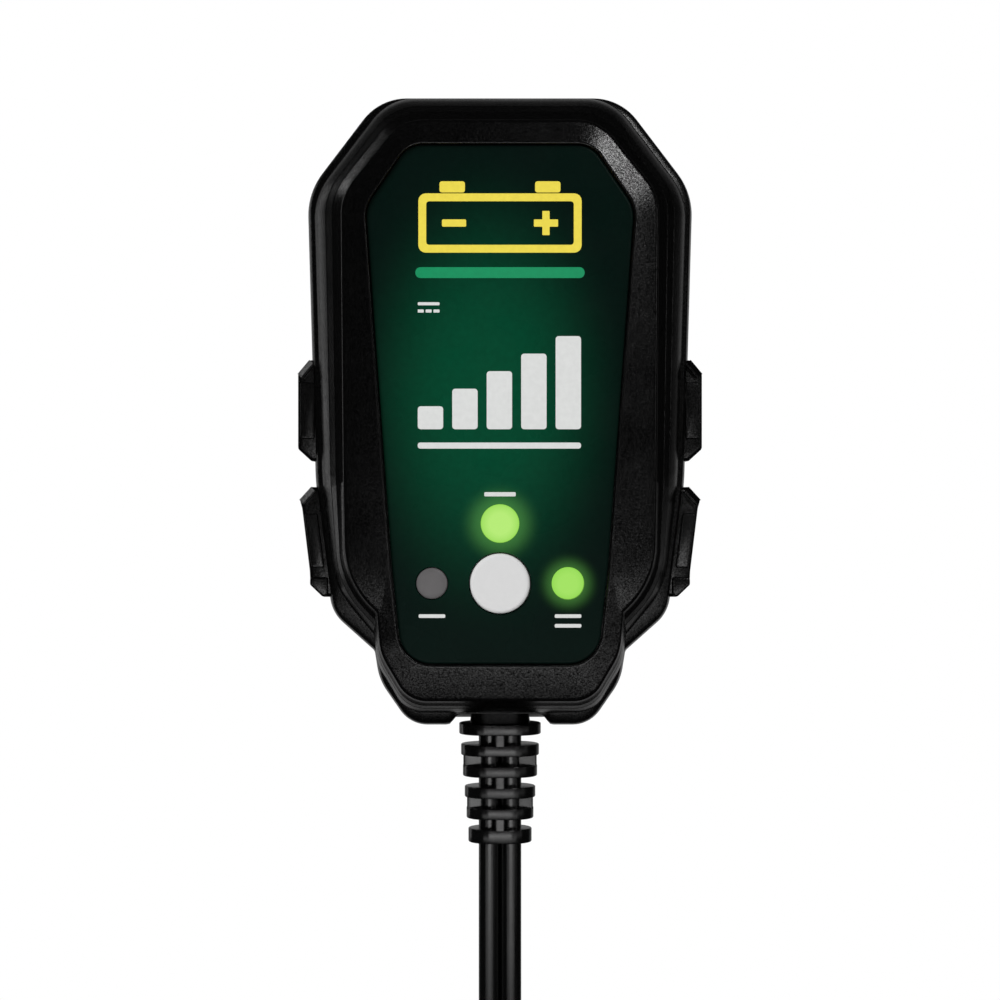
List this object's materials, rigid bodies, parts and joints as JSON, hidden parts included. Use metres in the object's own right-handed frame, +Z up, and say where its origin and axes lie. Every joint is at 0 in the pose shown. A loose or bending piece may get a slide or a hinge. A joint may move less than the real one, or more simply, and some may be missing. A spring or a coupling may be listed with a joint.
{
  "type": "car battery charger",
  "caption": "Plug-in wall charger for a 12 V car battery: black eight-sided body, green panel with lights and a select button, mains blades, and a twin lead with a two-pole connector.",
  "frame": {"origin": "midway between the two mains blades, on the flat back face that meets the wall outlet", "axes": "+Z up, along the body's height; +Y into the wall, along the blades; the front panel faces -Y"},
  "size_m": [0.0688, 0.1034, 0.3878],
  "materials": {
    "bezel_plastic": "fine spark-eroded texture",
    "shell_plastic": "fine texture",
    "panel_print": "printed overlay, glossy",
    "button_white": "smooth",
    "light_on": "lit window",
    "light_off": "unlit window",
    "led_clear": "clear",
    "black_component": "moulded",
    "brown_component": "moulded",
    "white_component": "moulded",
    "circuit_board": "solder mask",
    "blade_metal": "nickel plated",
    "ferrite": "sintered",
    "capacitor_sleeve": "sleeve",
    "capacitor_blue": "dipped",
    "bobbin_plastic": "moulded",
    "copper": "enamelled wire",
    "heat_sink_metal": "rolled",
    "wire_insulation": "smooth",
    "screw_steel": "zinc plated",
    "boot_rubber": "satin",
    "lead_jacket": "satin",
    "tie_rubber": "matt",
    "connector_rubber": "satin",
    "contact_metal": "nickel flash"
  },
  "bodies": {
    "housing": {"front_bezel": "bezel_plastic", "rear_cover": "shell_plastic", "front_panel": "panel_print", "charge_lens": "light_on", "left_lens": "light_off", "right_lens": "light_on", "status_leds": "led_clear", "switch_body": "black_component", "panel_board": "circuit_board", "board_link": "black_component", "main_board": "circuit_board", "blade_left": "blade_metal", "blade_right": "blade_metal", "blade_carrier": "black_component", "input_fuse": "brown_component", "input_choke": "ferrite", "bridge_rectifier": "black_component", "input_capacitor": "capacitor_sleeve", "safety_capacitor": "capacitor_blue", "transformer_core": "ferrite", "transformer_bobbin": "bobbin_plastic", "transformer_winding": "copper", "power_transistor": "black_component", "output_diode": "black_component", "heat_sink": "heat_sink_metal", "output_capacitors": "capacitor_sleeve", "optocoupler": "white_component", "controller_chip": "black_component", "output_wires": "wire_insulation", "housing_screws": "screw_steel", "board_screws": "screw_steel", "strain_relief": "boot_rubber", "lead_end": "lead_jacket", "lead_straight": "lead_jacket", "lead_hank": "lead_jacket", "hank_tie": "tie_rubber", "connector_body": "connector_rubber", "connector_pin": "contact_metal", "connector_socket": "contact_metal"},
    "button": {"select_button": "button_white", "switch_plunger": "brown_component"}
  },
  "joints": [
    {"name": "select_press", "type": "slide", "parent": "housing", "child": "button", "axis": [0, 1, 0], "range_m": [0, 0.0006], "stiffness_N_per_m": 1000, "springref_m": -0.0004}
  ]
}
